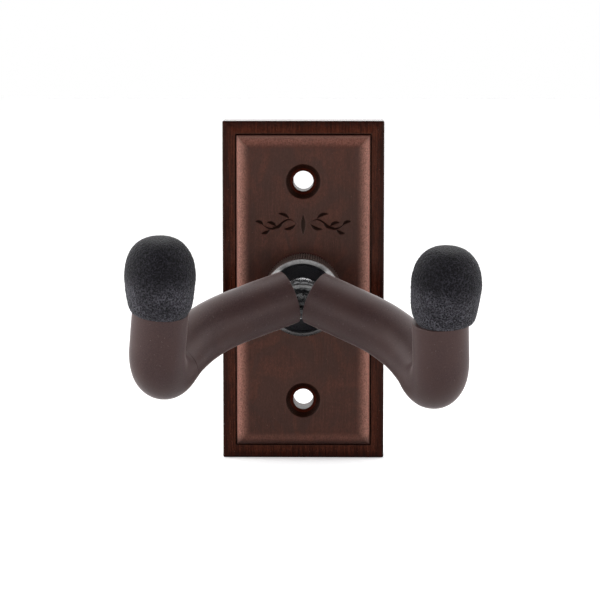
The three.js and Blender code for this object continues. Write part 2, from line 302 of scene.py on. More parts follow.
# The mix node's colour sockets, whose names are shared with its other data types.
MIX_A, MIX_B, MIX_RESULT = 6, 7, 2


class Graph:
    """A material's nodes, made one call at a time."""

    def __init__(self, name):
        self.material = bpy.data.materials.new(name)
        self.material.use_nodes = True
        self.tree = self.material.node_tree
        self.bsdf = next(n for n in self.tree.nodes if n.type == "BSDF_PRINCIPLED")
        self.place = self.add("ShaderNodeTexCoord").outputs["Object"]

    def add(self, kind, **settings):
        node = self.tree.nodes.new(kind)
        for key, value in settings.items():
            setattr(node, key, value)
        return node

    def put(self, socket, value):
        """Links another node's output to the socket, or sets the socket's own value."""
        if isinstance(value, bpy.types.NodeSocket):
            self.tree.links.new(value, socket)
        elif isinstance(value, (tuple, list)) and socket.type == "RGBA" and len(value) == 3:
            socket.default_value = (*value, 1)
        else:
            socket.default_value = value

    def set(self, **inputs):
        """Sets the surface shader's inputs by name, with _ for a space."""
        for key, value in inputs.items():
            self.put(self.bsdf.inputs[key.replace("_", " ")], value)

    def scaled(self, scale):
        """The place stretched by scale, in units per millimetre."""
        node = self.add("ShaderNodeMapping")
        self.put(node.inputs["Vector"], self.place)
        node.inputs["Scale"].default_value = [s / MM for s in scale]
        return node.outputs["Vector"]

    def noise(self, scale, detail=3, roughness=0.55, distortion=0):
        """Cloudy noise, from about 0.25 to 0.75. The scale is in cycles per millimetre."""
        node = self.add("ShaderNodeTexNoise")
        scale = (scale,) * 3 if isinstance(scale, (int, float)) else scale
        self.put(node.inputs["Vector"], self.scaled(scale))
        node.inputs["Scale"].default_value = 1
        node.inputs["Detail"].default_value = detail
        node.inputs["Roughness"].default_value = roughness
        node.inputs["Distortion"].default_value = distortion
        return node.outputs["Fac"]

    def cells(self, scale):
        """Distance to the nearest of many scattered points, in cells."""
        node = self.add("ShaderNodeTexVoronoi")
        self.put(node.inputs["Vector"], self.scaled((scale,) * 3))
        node.inputs["Scale"].default_value = 1
        return node.outputs["Distance"]

    def math(self, operation, a, b=0.0):
        node = self.add("ShaderNodeMath", operation=operation)
        self.put(node.inputs[0], a)
        self.put(node.inputs[1], b)
        return node.outputs[0]

    def fit(self, value, low, high, to_low=0.0, to_high=1.0):
        """The value's range from low to high eased to another range, and held at its ends."""
        node = self.add("ShaderNodeMapRange", interpolation_type="SMOOTHSTEP")
        self.put(node.inputs["Value"], value)
        for key, number in (
            ("From Min", low),
            ("From Max", high),
            ("To Min", to_low),
            ("To Max", to_high),
        ):
            self.put(node.inputs[key], number)
        return node.outputs["Result"]

    def mix(self, factor, a, b):
        """Colour a where the factor is 0, and b where it is 1."""
        node = self.add("ShaderNodeMix", data_type="RGBA")
        self.put(node.inputs["Factor"], factor)
        self.put(node.inputs[MIX_A], a)
        self.put(node.inputs[MIX_B], b)
        return node.outputs[MIX_RESULT]

    def axes(self):
        """The place's three coordinates in millimetres."""
        node = self.add("ShaderNodeSeparateXYZ")
        self.put(node.inputs[0], self.scaled((1, 1, 1)))
        return node.outputs[0], node.outputs[1], node.outputs[2]

    def radius(self, a, b):
        """The length of (a, b)."""
        square = self.math("MULTIPLY", a, a)
        return self.math("SQRT", self.math("ADD", square, self.math("MULTIPLY", b, b)))

    def bump(self, *layers):
        """Bump from (height, strength, distance in millimetres) layers, one over another."""
        normal = None
        for height, strength, distance in layers:
            node = self.add("ShaderNodeBump")
            node.inputs["Strength"].default_value = strength
            node.inputs["Distance"].default_value = distance * MM
            self.put(node.inputs["Height"], height)
            if normal:
                self.put(node.inputs["Normal"], normal)
            normal = node.outputs["Normal"]
        self.put(self.bsdf.inputs["Normal"], normal)

    def all_of(self, *masks):
        """The product of the masks."""
        whole = masks[0]
        for mask in masks[1:]:
            whole = self.math("MULTIPLY", whole, mask)
        return whole

    def streaked(self, streak, dark, light):
        """Two tones of wood along its grain."""
        return self.mix(self.fit(streak, 0.36, 0.64), dark, light)


def wood_colour(g, streak, fine):
    """The waxed front: reddish blotches, darker bands, fine grain and open pores."""
    blotch = g.noise((0.05, 0.05, 0.038), 4, 0.6, 1.4)
    bands = g.noise((0.06, 0.06, 0.035), 2, 0.5, 2.5)
    mottle = g.noise((1.0, 1.0, 0.7), 3, 0.7, 0.5)
    base = g.streaked(streak, (0.028, 0.0078, 0.0053), (0.052, 0.0162, 0.0120))
    base = g.mix(g.fit(blotch, 0.38, 0.62, 0, 0.7), base, (0.070, 0.0190, 0.0117))
    base = g.mix(g.fit(bands, 0.43, 0.60, 0, 0.6), base, (0.024, 0.0108, 0.0098))
    base = g.mix(g.fit(mottle, 0.42, 0.58, 0, 0.45), base, (0.023, 0.0073, 0.0053))
    base = g.mix(g.fit(fine, 0.40, 0.62, 0, 0.4), base, (0.020, 0.0060, 0.0042))
    pores = g.fit(g.noise((5, 5, 0.7), 2, 0.5), 0.60, 0.68)
    return g.mix(g.all_of(pores, 0.7), base, (0.009, 0.0033, 0.0025)), pores


def border_colour(g, inset, streak, fine):
    """The lower border: nearly black at the outside, and red-brown beside the step."""
    dark = g.streaked(streak, (0.0050, 0.0004, 0.0002), (0.0250, 0.0028, 0.0010))
    light = g.streaked(streak, (0.0300, 0.0050, 0.0020), (0.0850, 0.0200, 0.0095))
    base = g.mix(g.fit(inset, 0.3, 4.2), dark, light)
    return g.mix(g.fit(fine, 0.40, 0.62, 0, 0.55), base, (0.011, 0.0014, 0.0007))


def hole_distance(g, x, z):
    """Distance from the nearer screw hole's axis."""
    return g.radius(x, g.math("SUBTRACT", g.math("ABSOLUTE", z), SCREW_Z))


def edge_distance(g, x, z):
    """Distance in from the plate's nearer side edge."""
    return g.math(
        "MINIMUM",
        g.math("SUBTRACT", PLATE_W / 2, g.math("ABSOLUTE", x)),
        g.math("SUBTRACT", PLATE_H / 2, g.math("ABSOLUTE", z)),
    )


# How far in from the step the bevel's lighter rim (part wear, part painted highlight) fades out,
# and where the level field starts.
RIM_END = 5.4
FIELD_START = 5.2

# Distances out from the wall between which stained wood turns into raw wood.
STAIN_END, RAW_START = 0.9, 0.3


def wood_masks(g, x, z, front, inset):
    """Where the plate's border, sunk holes, carving, lighter rim (part wear, part painted
    highlight), and the painted shade on the lower bevel and at the step are.
    """
    border = g.all_of(g.fit(inset, BORDER + 0.35, BORDER - 0.1), g.fit(front, 0.6, 1.4))
    sunk = g.fit(hole_distance(g, x, z), SINK_R + 0.15, SINK_R - 0.25)
    bored = g.all_of(sunk, g.fit(front, PLATE_T + 0.05, PLATE_T - 0.4))
    carved = g.all_of(
        g.fit(front, PLATE_T - 0.04, PLATE_T - 0.22),
        0.9,
        g.fit(inset, BORDER + FIELD_START, BORDER + FIELD_START + 0.4),
        g.fit(front, PLATE_T - 2.2, PLATE_T - 2),
    )
    bottom = -PLATE_H / 2 + BORDER
    # The bevel's lighter rim is partly wear and partly a painted highlight: full at the sides,
    # weaker at the top and none at the bottom.
    rim = g.all_of(
        g.fit(inset, BORDER - 0.1, BORDER + 0.5),
        g.fit(inset, BORDER + RIM_END, BORDER + 0.6),
        g.fit(z, bottom, bottom + 5),
        g.fit(z, -bottom, -bottom - 4, 0.35, 1.0),
        g.fit(front, PLATE_T - 4.5, PLATE_T - 4),
    )
    # Painted shade: the lower bevel, which faces down, is made darker.
    under = g.all_of(g.fit(inset, BORDER, BORDER + 0.5), g.fit(z, bottom + 4, bottom))
    # Painted shade along the step: its groove and riser are made darker.
    step = g.all_of(
        g.fit(inset, BORDER - 0.7, BORDER - 0.15), g.fit(inset, BORDER + 0.3, BORDER)
    )
    return border, bored, carved, rim, under, step


def wood_material():
    """Dark stained hardwood, worn where hands and cloths rub it, with a painted highlight on the
    bevel's rim, painted shade on the lower bevel and at the step, and raw behind.
    """
    g = Graph("dark_wood")
    x, y, z = g.axes()
    front = g.math("MULTIPLY", y, -1)
    inset = edge_distance(g, x, z)
    border, bored, carved, rim, under, step = wood_masks(g, x, z, front, inset)
    streak = g.noise((1.6, 1.6, 0.09), 5, 0.7, 0.4)
    fine = g.noise((3.4, 3.4, 1.1), 4, 0.7)
    base, pores = wood_colour(g, streak, fine)
    base = g.mix(border, base, border_colour(g, inset, streak, fine))
    base = g.mix(bored, base, (0.042, 0.0055, 0.0022))
    base = g.mix(carved, base, (0.0075, 0.0028, 0.0018))
    # Patchy strength of the rim's lighter colour, which is partly wear and partly a painted
    # highlight.
    wear_and_highlight = g.fit(g.noise((2.0, 2.0, 1.5), 4, 0.75), 0.34, 0.66, 0.3, 0.95)
    base = g.mix(g.all_of(rim, wear_and_highlight), base, (0.32, 0.135, 0.102))
    # Painted shade on the lower bevel.
    base = g.mix(g.all_of(under, 0.6), base, (0.016, 0.0045, 0.0032))
    # Painted shade at the step.
    base = g.mix(g.all_of(step, 0.9), base, (0.006, 0.0012, 0.0008))
    dust = g.fit(g.noise(2.0, 2, 0.6), 0.69, 0.75)
    base = g.mix(g.all_of(dust, 0.4), base, (0.22, 0.13, 0.10))
    raw = g.streaked(streak, (0.020, 0.0085, 0.0060), (0.052, 0.0240, 0.0170))
    raw = g.mix(g.all_of(pores, 0.8), raw, (0.01,) * 3)
    base = g.mix(g.fit(front, STAIN_END, RAW_START), base, raw)
    rough = g.fit(fine, 0.25, 0.75, 0.36, 0.50)
    rough = g.mix(border, rough, (0.24,) * 3)
    dull = g.math("MAXIMUM", g.math("MAXIMUM", border, bored), carved)
    g.set(Base_Color=base, Roughness=rough, Specular_IOR_Level=g.fit(dull, 0, 1, 0.32, 0.12))
    g.set(Specular_Tint=(1.0, 0.72, 0.60))
    g.bump((streak, 0.35, 0.14), (fine, 0.4, 0.08), (pores, 0.4, -0.08))
    return g.material


def sleeve_material():
    """Matte foam tube with a fine skin."""
    g = Graph("sleeve_foam")
    grain = g.noise(2.2, 4, 0.7)
    fine = g.noise(6, 3, 0.6)
    cloud = g.noise(0.08, 3, 0.5, 0.4)
    base = g.mix(g.fit(grain, 0.34, 0.66), (0.0245, 0.0108, 0.0106), (0.042, 0.0216, 0.0209))
    base = g.mix(g.fit(cloud, 0.38, 0.64, 0, 0.5), base, (0.041, 0.0190, 0.0165))
    specks = g.fit(g.noise(1.8, 1, 0.5), 0.72, 0.76)
    base = g.mix(g.all_of(specks, 0.3), base, (0.22, 0.17, 0.16))
    g.set(Base_Color=base, Roughness=g.fit(fine, 0.3, 0.7, 0.40, 0.54))
    g.set(Sheen_Weight=0.34, Sheen_Roughness=0.22, Sheen_Tint=(1.0, 0.86, 0.84))
    g.set(Specular_IOR_Level=0.36, Specular_Tint=(1.0, 0.86, 0.84))
    g.bump((grain, 0.35, 0.07), (fine, 0.3, 0.04))
    return g.material


# Heights above a cap's foot between which the lighter side band (painted light from below) turns
# into the darker crown (painted shade).
CROWN_FROM, CROWN_TO = 8.5, 16.5


def cap_material(name, path):
    """Coarse charcoal foam: painted shade on a dark smooth crown, painted light on the side
    band, and lighter cells that are partly foam texture and partly painted glints.
    """
    g = Graph(name)
    axis = TILT @ path.along
    foot = axis.dot(TILT @ path.base)
    node = g.add("ShaderNodeVectorMath", operation="DOT_PRODUCT")
    g.put(node.inputs[0], g.scaled((1, 1, 1)))
    g.put(node.inputs[1], axis)
    height = g.math("SUBTRACT", node.outputs["Value"], foot)
    cells = g.cells(1.7)
    grain = g.noise(1.9, 4, 0.8)
    cloud = g.noise(0.11, 3, 0.5)
    # Painted shade: the crown is made darker, as if it faces away from the light.
    shaded_crown = g.mix(g.fit(grain, 0.44, 0.58), (0.0004, 0.0003, 0.0007), (0.0105, 0.0098, 0.0138))
    shaded_crown = g.mix(g.fit(cells, 0.50, 0.78, 0, 0.5), shaded_crown, (0.036, 0.034, 0.043))
    # Painted light: the side band is made lighter, as if lit from below. Its lighter cells are
    # partly foam texture and partly painted glints.
    lit_band = g.mix(g.fit(grain, 0.44, 0.58), (0.0012, 0.0011, 0.0017), (0.0430, 0.0412, 0.0505))
    lit_band = g.mix(g.fit(cells, 0.45, 0.75, 0, 0.6), lit_band, (0.098, 0.094, 0.110))
    base = g.mix(g.fit(height, CROWN_FROM, CROWN_TO), lit_band, shaded_crown)
    base = g.mix(g.fit(cloud, 0.38, 0.68, 0, 0.4), base, (0.0030, 0.0027, 0.0038))
    g.set(Base_Color=base, Roughness=0.6, Sheen_Weight=0.07, Sheen_Roughness=0.26)
    g.set(Specular_IOR_Level=0.1)
    g.bump((grain, 1.0, 0.28), (cells, 0.7, 0.2))
    return g.material


BARE_STEEL = (0.35, 0.35, 0.36)


def paint_material(name, colour, rough, chipped, waves):
    """Glossy paint over steel, with an orange-peel skin and rubbed spots."""
    g = Graph(name)
    peel = g.noise(0.9, 3, 0.6)
    fine = g.noise(8, 3, 0.6)
    rubbed = g.all_of(g.fit(g.noise(0.9, 4, 0.7), 0.60, 0.72), chipped)
    base = g.mix(g.fit(fine, 0.3, 0.7), colour, tuple(c * 1.8 for c in colour))
    base = g.mix(rubbed, base, BARE_STEEL)
    g.set(Base_Color=base, Metallic=rubbed, Roughness=g.fit(peel, 0.3, 0.7, rough, rough + 0.08))
    g.set(Specular_IOR_Level=1.0)
    g.bump((peel, 0.8, waves), (fine, 0.12, 0.02))
    return g.material


# Fine rings about the pivot, in radians per millimetre.
TURNING_MARKS = 30
PLATING_MARKS = 38


def knurl_material():
    """Dark oxidised metal, lighter on the ribs' crests (partly rubbed wear, partly a painted
    highlight) and brownish in their roots.
    """
    g = Graph("knurled_black")
    x, _, z = g.axes()
    radius = g.radius(x, z)
    crest = g.fit(radius, COLLAR_R - 0.25, COLLAR_R + 0.2)
    side = g.fit(radius, COLLAR_R - 0.9, COLLAR_R - 0.5)
    rubbed = g.fit(g.noise(1.6, 4, 0.7), 0.3, 0.7, 0.45, 1.0)
    fine = g.noise(6, 3, 0.6)
    wave = g.math("SINE", g.all_of(radius, TURNING_MARKS))
    # The crests' lighter colour is partly rubbed wear and partly a painted highlight.
    ribs = g.mix(g.all_of(crest, rubbed), (0.006, 0.004, 0.0035), (0.22, 0.165, 0.148))
    face = g.mix(g.fit(fine, 0.3, 0.7), (0.014, 0.0138, 0.0165), (0.032, 0.0315, 0.0370))
    g.set(Base_Color=g.mix(side, face, ribs))
    g.set(Metallic=g.all_of(side, 0.8), Roughness=g.fit(fine, 0.3, 0.7, 0.24, 0.40))
    g.bump((wave, 0.15, 0.02), (fine, 0.2, 0.03))
    return g.material


def steel_material(name, colour, rough):
    """Turned or plated steel: fine rings about the pivot, stains and handling marks."""
    g = Graph(name)
    x, y, z = g.axes()
    across = g.math("ADD", g.radius(x, z), g.math("MULTIPLY", y, 0.35))
    wave = g.math("SINE", g.all_of(across, PLATING_MARKS))
    smear = g.noise(0.8, 4, 0.65)
    pits = g.noise(5, 3, 0.6)
    dark = tuple(c * 0.55 for c in colour)
    base = g.mix(g.fit(smear, 0.35, 0.75, 0, 0.55), colour, dark)
    g.set(Base_Color=base, Metallic=1.0)
    g.set(Roughness=g.fit(smear, 0.3, 0.75, rough, rough + 0.12))
    g.bump((wave, 0.12, 0.02), (pits, 0.2, 0.03))
    return g.material


def nylon_material(name, colour):
    """Moulded nylon, slightly cloudy and a little translucent."""
    g = Graph(name)
    grain = g.noise(4, 3, 0.6)
    cloud = g.noise(0.3, 3, 0.5)
    dark = tuple(c * 0.75 for c in colour)
    base = g.mix(g.fit(cloud, 0.3, 0.75), colour, dark)
    g.set(Base_Color=base, Roughness=g.fit(grain, 0.3, 0.7, 0.42, 0.6))
    g.set(Subsurface_Weight=0.1, Subsurface_Scale=0.001)
    g.bump((grain, 0.2, 0.04))
    return g.material


def finish_piece(obj, materials, body, node):
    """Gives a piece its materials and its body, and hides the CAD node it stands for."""
    for material in materials:
        obj.data.materials.append(material)
    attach(obj, body)
    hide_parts(node)


# ---- plate


# Corner radii of the plate's outline, its border and its bevel, and its front edge's rounding.
OUTLINE_CORNER = 0.55
BORDER_CORNER = 0.5
BEVEL_CORNER = 0.3
PLATE_EASE = 0.6
CORNER_STEPS = 4


def rectangle_loop(inset, out, corner):
    """A rectangle inset from the plate's outline, with round corners, at a distance out."""
    x, z = PLATE_W / 2 - inset, PLATE_H / 2 - inset
    loop = []
    for quarter in range(4):
        a0 = math.pi / 2 * quarter
        cx = (x - corner) * (1 if quarter in (0, 3) else -1)
        cz = (z - corner) * (1 if quarter in (0, 1) else -1)
        for i in range(CORNER_STEPS + 1):
            a = a0 + math.pi / 2 * i / CORNER_STEPS
            loop.append((cx + corner * math.cos(a), -out, cz + corner * math.sin(a)))
    return loop


BEVEL_STEPS = 16

# The step beside the border, as (inset from the step, distance out from the border, corner):
# a low bead, a groove at its foot, and the riser.
STEP_SECTION = [(-1.3, 0, 0.5), (-0.75, 0.10, 0.5), (-0.35, 0.04, 0.45), (-0.08, -0.25, 0.4)]
STEP_SECTION += [(0.06, -0.2, 0.35), (0.12, STEP_RISE - 0.25, 0.35)]


def plate_loops():
    """The plate's section as loops, from its back over the border and bevel to the field."""
    border = PLATE_T - BEVEL_RISE - STEP_RISE
    loops = [rectangle_loop(0.5, 0, 0.4), rectangle_loop(0.15, 0.15, 0.5)]
    loops += [rectangle_loop(0, out, OUTLINE_CORNER) for out in (0.5, border - PLATE_EASE)]
    for degrees in (25, 50, 70, 90):
        a = math.radians(degrees)
        inset, drop = PLATE_EASE * (1 - math.cos(a)), PLATE_EASE * (1 - math.sin(a))
        loops.append(rectangle_loop(inset, border - drop, BORDER_CORNER))
    for inset, out, corner in STEP_SECTION:
        loops.append(rectangle_loop(BORDER + inset, border + out, corner))
    for i in range(BEVEL_STEPS + 1):
        a = math.radians(12 + 78 * i / BEVEL_STEPS)
        inset = BORDER + 0.15 + (BEVEL_W + 1.0) * (1 - math.cos(a)) ** 1.08
        out = border + STEP_RISE + BEVEL_RISE * math.sin(a)
        loops.append(rectangle_loop(inset, out, BEVEL_CORNER))
    return loops


def loft(name, loops):
    """A closed body through loops of the same number of points."""
    points = [p for loop in loops for p in loop]
    n = len(loops[0])
    faces = [tuple(range(n)), tuple(range(len(points) - n, len(points)))]
    for i in range(len(loops) - 1):
        for k in range(n):
            a, b = i * n + k, i * n + (k + 1) % n
            faces.append((a, b, b + n, a + n))
    return new_object(name, points, faces)


def screw_hole_cutter():
    """A countersunk hole on the pivot's axis, to be moved to its place."""
    mouth = PLATE_T - SINK_DEPTH
    profile = [(-1, 0), (-1, SCREW_R + 0.5), (0, SCREW_R + 0.5), (0.5, SCREW_R)]
    profile += [(mouth - 0.3, SCREW_R), (mouth + 0.1, SCREW_R + 0.25)]
    profile += [(PLATE_T - 0.35, SINK_R - 0.35), (PLATE_T - 0.12, SINK_R - 0.1)]
    profile += [(PLATE_T - 0.02, SINK_R + 0.08), (PLATE_T + 0.02, SINK_R + 0.25)]
    profile += [(PLATE_T + 1, SINK_R + 0.4), (PLATE_T + 1, 0)]
    return around("cutter", AXIS, profile, CUTTER_SIDES)


def bore_cutter(radius, front, lead):
    """A round bore from the plate's back, with an eased mouth."""
    back = -1
    profile = [(back, 0), (back, radius + lead), (0, radius + lead), (lead, radius)]
    profile += [(front, radius), (front, 0)]
    return around("cutter", AXIS, profile, RING_SIDES)


# How far out a groove's cutter reaches, past the field, and its relative size at its ends.
STROKE_TOP = PLATE_T + 0.25
STROKE_TIP = 0.04


def stroke(points, width, depth):
    """A tapered V groove along points given as (x, z) on the plate's field."""
    verts, faces = [], []
    last = len(points) - 1
    for i, (x, z) in enumerate(points):
        x0, z0 = points[max(i - 1, 0)]
        x1, z1 = points[min(i + 1, last)]
        length = math.hypot(x1 - x0, z1 - z0)
        nx, nz = -(z1 - z0) / length, (x1 - x0) / length
        t = i / last
        swell = max(math.sin(math.pi * t) ** 0.8, STROKE_TIP)
        half = width / 2 * swell * (STROKE_TOP - PLATE_T + depth) / depth
        deep = PLATE_T - depth * swell
        verts.append((x + nx * half, -STROKE_TOP, z + nz * half))
        verts.append((x - nx * half, -STROKE_TOP, z - nz * half))
        verts.append((x, -deep, z))
    for i in range(last):
        a, b = 3 * i, 3 * i + 3
        faces += [(a, a + 1, b + 1, b), (a + 1, a + 2, b + 2, b + 1), (a + 2, a, b, b + 2)]
    faces += [(0, 2, 1), (3 * last, 3 * last + 1, 3 * last + 2)]
    return verts, faces


# The carved ornament: its height on the plate, the ends of each stem, and its sizes.
ORNAMENT_Z = 24.8
STEM_START, STEM_END = 2.0, 17.0
STEM_WAVE = 2.1
STEM_POINTS = 32
LEAF_PLACES = (0.04, 0.2, 0.36, 0.52, 0.68, 0.84)
LEAF_LENGTH = 5.6
LEAF_POINTS = 12
TAPER = 0.4
LOZENGE_HALF = 4.2


def vine_stem(side, t):
    """A point of the wavy stem, from the middle (0) to its tip (1)."""
    wave = STEM_WAVE * math.sin(TAU * 1.15 * t) * (1 - TAPER * t)
    return side * (STEM_START + (STEM_END - STEM_START) * t), ORNAMENT_Z + wave


def vine_leaf(side, t, up):
    """A curved leaf that leaves the stem towards its tip."""
    x, z = vine_stem(side, t)
    length = LEAF_LENGTH * (1 - TAPER * t)
    points = []
    for i in range(LEAF_POINTS + 1):
        s = i / LEAF_POINTS
        a = math.radians(66 - 44 * s)
        points.append((x + side * length * s * math.cos(a), z + up * length * s * math.sin(a)))
    return points


def ornament_cutter():
    """A plain carved ornament: a lozenge between two mirrored leafy stems."""
    shapes = []
    for side in (1, -1):
        stem = [vine_stem(side, i / STEM_POINTS) for i in range(STEM_POINTS + 1)]
        shapes.append(stroke(stem, 1.0, 0.4))
        for k, t in enumerate(LEAF_PLACES):
            shapes.append(stroke(vine_leaf(side, t, 1 if k % 2 else -1), 1.5, 0.5))
    foot, height = ORNAMENT_Z - LOZENGE_HALF, 2 * LOZENGE_HALF
    lozenge = [(0, foot + height * i / LEAF_POINTS) for i in range(LEAF_POINTS + 1)]
    shapes.append(stroke(lozenge, 2.2, 0.55))
    verts, faces = [], []
    for some_verts, some_faces in shapes:
        base = len(verts)
        verts += some_verts
        faces += [tuple(base + k for k in face) for face in some_faces]
    return new_object("cutter", verts, faces)


def make_plate():
    """The plate with its screw holes, bore, rear pocket and carving."""
    plate = loft("wooden_plate", plate_loops())
    for side in (1, -1):
        cutter = screw_hole_cutter()
        cutter.location.z = side * SCREW_Z * MM
        bpy.context.view_layer.update()
        combine(plate, cutter, "DIFFERENCE")
    combine(plate, bore_cutter(PLATE_BORE_R, PLATE_T + 1, 0.3), "DIFFERENCE")
    combine(plate, bore_cutter(POCKET_R, POCKET_DEPTH, 0.4), "DIFFERENCE")
    combine(plate, ornament_cutter(), "DIFFERENCE", overlapping=True)
    crease(plate, 24)
    finish_piece(plate, [wood_material()], "plate", "back_plate")


# ---- collar and pivot


# The collar, with a finer knurl than the CAD model's.
KNURL_TEETH = 100
KNURL_FROM = 19.6
KNURL_TO = COLLAR_FRONT - 3.2
KNURL_ROOT = 0.2
COLLAR_R = 14.0
COLLAR_FACE_R = 12.65
COLLAR_RIM_R = 14.1
COLLAR_BORE_R = 6.0
COLLAR_SPIGOT_R = 9.0
FACE_GROOVES = 23
GROOVE_DEPTH = 0.09
GROOVES_END_R = 7.6


def knurled(s, radius, angle):
    """Cuts rounded teeth into the band between two plain edges."""
    if not (KNURL_FROM < s < KNURL_TO and abs(radius - COLLAR_R) < 0.3):
        return radius
    wave = abs(math.sin(angle * KNURL_TEETH / 2))
    return COLLAR_R - KNURL_ROOT + (COLLAR_LIP_R - COLLAR_R + KNURL_ROOT) * wave**0.8


def collar_profile():
    """The collar's section, and where its bright rim starts and ends in it."""
    spigot_r, spigot_back = COLLAR_SPIGOT_R, -COLLAR_HIGH.y
    back, front = PLATE_T + GAP, COLLAR_FRONT
    floor = front - COLLAR_RECESS
    profile = [(spigot_back, COLLAR_BORE_R), (spigot_back, spigot_r - 0.4)]
    profile += [(spigot_back + 0.4, spigot_r), (back, spigot_r), (back, COLLAR_R - 0.5)]
    profile += [(back + 0.5, COLLAR_R), (KNURL_FROM, COLLAR_R), (KNURL_FROM + 0.25, COLLAR_R)]
    profile += [(s, COLLAR_R) for s in spread(KNURL_FROM + 0.5, KNURL_TO - 0.5, 4)]
    profile += [(KNURL_TO - 0.25, COLLAR_R), (KNURL_TO, COLLAR_R - 0.25)]
    profile += [(KNURL_TO + 0.15, COLLAR_RIM_R - 0.15), (KNURL_TO + 0.35, COLLAR_RIM_R)]
    rim_start = len(profile)
    profile += [(front - 1.85, COLLAR_RIM_R), (front - 1.65, COLLAR_RIM_R - 0.08)]
    profile += [(front - 0.12, COLLAR_FACE_R + 0.12), (front, COLLAR_FACE_R)]
    rim_end = len(profile)
    profile += [(front - 0.05, COLLAR_FACE_R - 0.12), (front - 0.25, COLLAR_FACE_R - 0.25)]
    wall_r = COLLAR_FACE_R - 0.45
    foot_r = wall_r - 0.6
    profile += [(floor + 0.7, wall_r), (floor + 0.25, wall_r - 0.2), (floor, foot_r)]
    for i in range(1, FACE_GROOVES):
        r = foot_r - (foot_r - GROOVES_END_R) * i / FACE_GROOVES
        profile.append((floor - (GROOVE_DEPTH if i % 2 else 0.0), r))
    profile += [(floor, GROOVES_END_R), (floor, COLLAR_BORE_R + 0.3)]
    profile += [(floor - 0.3, COLLAR_BORE_R)]
    return profile, rim_start, rim_end


def make_collar():
    """The knurled collar, with its rim's faces in a brighter metal."""
    profile, rim_start, rim_end = collar_profile()
    sides = KNURL_TEETH * 4
    collar = around("knurled_collar", AXIS, profile, sides, closed=True, shape=knurled)
    for face in collar.data.polygons:
        ring = face.index // sides
        if rim_start <= ring < rim_end:
            face.material_index = 1
    crease(collar, 35)
    rim = steel_material("rim_black_chrome", (0.135, 0.132, 0.132), 0.17)
    finish_piece(collar, [knurl_material(), rim], "plate", "swivel_collar")


# The stud, and what fits round it.
STUD_R = 4.0
STUD_BORE_R = 4.3
THREAD_PITCH = 1.25
THREAD_DEPTH = 0.62
THREAD_START, THREAD_END = 2.2, 16.0
BUSH_R = 5.7
BUSH_FLANGE_R = 7.2
BUSH_FLANGE_T = 1.0
BUSH_DEPTH = 12


def make_bush(name, node, mouth, outward):
    """A flanged nylon bush in one end of the collar's bore."""
    bore, sleeve, flange = STUD_BORE_R, BUSH_R, BUSH_FLANGE_R
    near = mouth + outward * GAP
    far = near + outward * BUSH_FLANGE_T
    inner = mouth - outward * BUSH_DEPTH
    profile = [(inner, bore), (inner, sleeve - 0.3), (inner + outward * 0.3, sleeve)]
    profile += [(near, sleeve), (near, flange - 0.15), (near + outward * 0.15, flange)]
    profile += [(far - outward * 0.15, flange), (far, flange - 0.15), (far, bore + 0.2)]
    profile += [(far - outward * 0.2, bore)]
    bush = crease(around(name, AXIS, profile, RING_SIDES, closed=True))
    nylon = nylon_material(name + "_nylon", (0.72, 0.7, 0.64))
    finish_piece(bush, [nylon], "plate", node)


def threaded(s, radius, angle):
    """Cuts a screw thread into the stud's rear end."""
    if radius < STUD_R - 0.5 or not THREAD_START <= s <= THREAD_END:
        return radius
    phase = (s / THREAD_PITCH + angle / TAU) % 1
    return radius - THREAD_DEPTH * abs(2 * phase - 1)


def make_stud(steel):
    """The threaded stud, with its head under the weld painted black."""
    low, high = low_high("pivot_stud")
    back, front = -high.y, -low.y
    head_r = (high.x - low.x) / 2
    head_back = -low_high("thrust_washer")[0].y + GAP
    profile = [(back, 0), (back, 2.6), (back + 0.15, 3.0), (2.3, 3.9)]
    profile += [(s, STUD_R) for s in spread(2.4, THREAD_END, THREAD_PITCH / 10)]
    profile += [(THREAD_END + 0.5, STUD_R), (head_back, STUD_R), (head_back, head_r - 0.3)]
    profile += [(head_back + 0.3, head_r), (front + 1.2, head_r)]
    profile += [(front + 2.5, 3.4), (front + 2.5, 0)]
    stud = crease(around("threaded_stud", AXIS, profile, 72, shape=threaded, turn=TILT))
    for face in stud.data.polygons:
        if -face.center.y / MM > head_back - 0.1:
            face.material_index = 1
    black = paint_material("head_black", (0.010, 0.010, 0.012), 0.06, 0.1, 0.6)
    finish_piece(stud, [steel, black], "yoke", "pivot_stud")


WASHER_EASE = 0.25
SPRING_T = 0.7


def make_washers(steel):
    """Two flat washers and the dished spring washer."""
    for name, node in (
        ("bright_thrust_washer", "thrust_washer"),
        ("wide_rear_washer", "rear_washer"),
    ):
        low, high = low_high(node)
        outer = (high.x - low.x) / 2
        washer = ring_piece(name, STUD_BORE_R, outer, -high.y, -low.y, WASHER_EASE)
        finish_piece(washer, [steel], "yoke", node)
    low, high = low_high("spring_washer")
    outer, thick = (high.x - low.x) / 2, SPRING_T
    back, front = -high.y, -low.y
    profile = [(back, STUD_BORE_R), (front - thick, outer - 0.1), (front - thick + 0.15, outer)]
    profile += [(front - 0.15, outer), (front, outer - 0.15), (back + thick, STUD_BORE_R)]
    spring = around("dished_spring_washer", AXIS, profile, RING_SIDES, closed=True, turn=TILT)
    crease(spring)
    dark = steel_material("spring_steel", (0.3, 0.3, 0.32), 0.35)
    finish_piece(spring, [dark], "yoke", "spring_washer")


NUT_HALF_FLATS = 6.5
NUT_CORNER = NUT_HALF_FLATS / math.cos(math.pi / 6)
NUT_LIP_R = 5.0
INSERT_SEAT_R = 5.7
INSERT_SEAT_DEPTH = 2.2
INSERT_BORE_R = 4.05


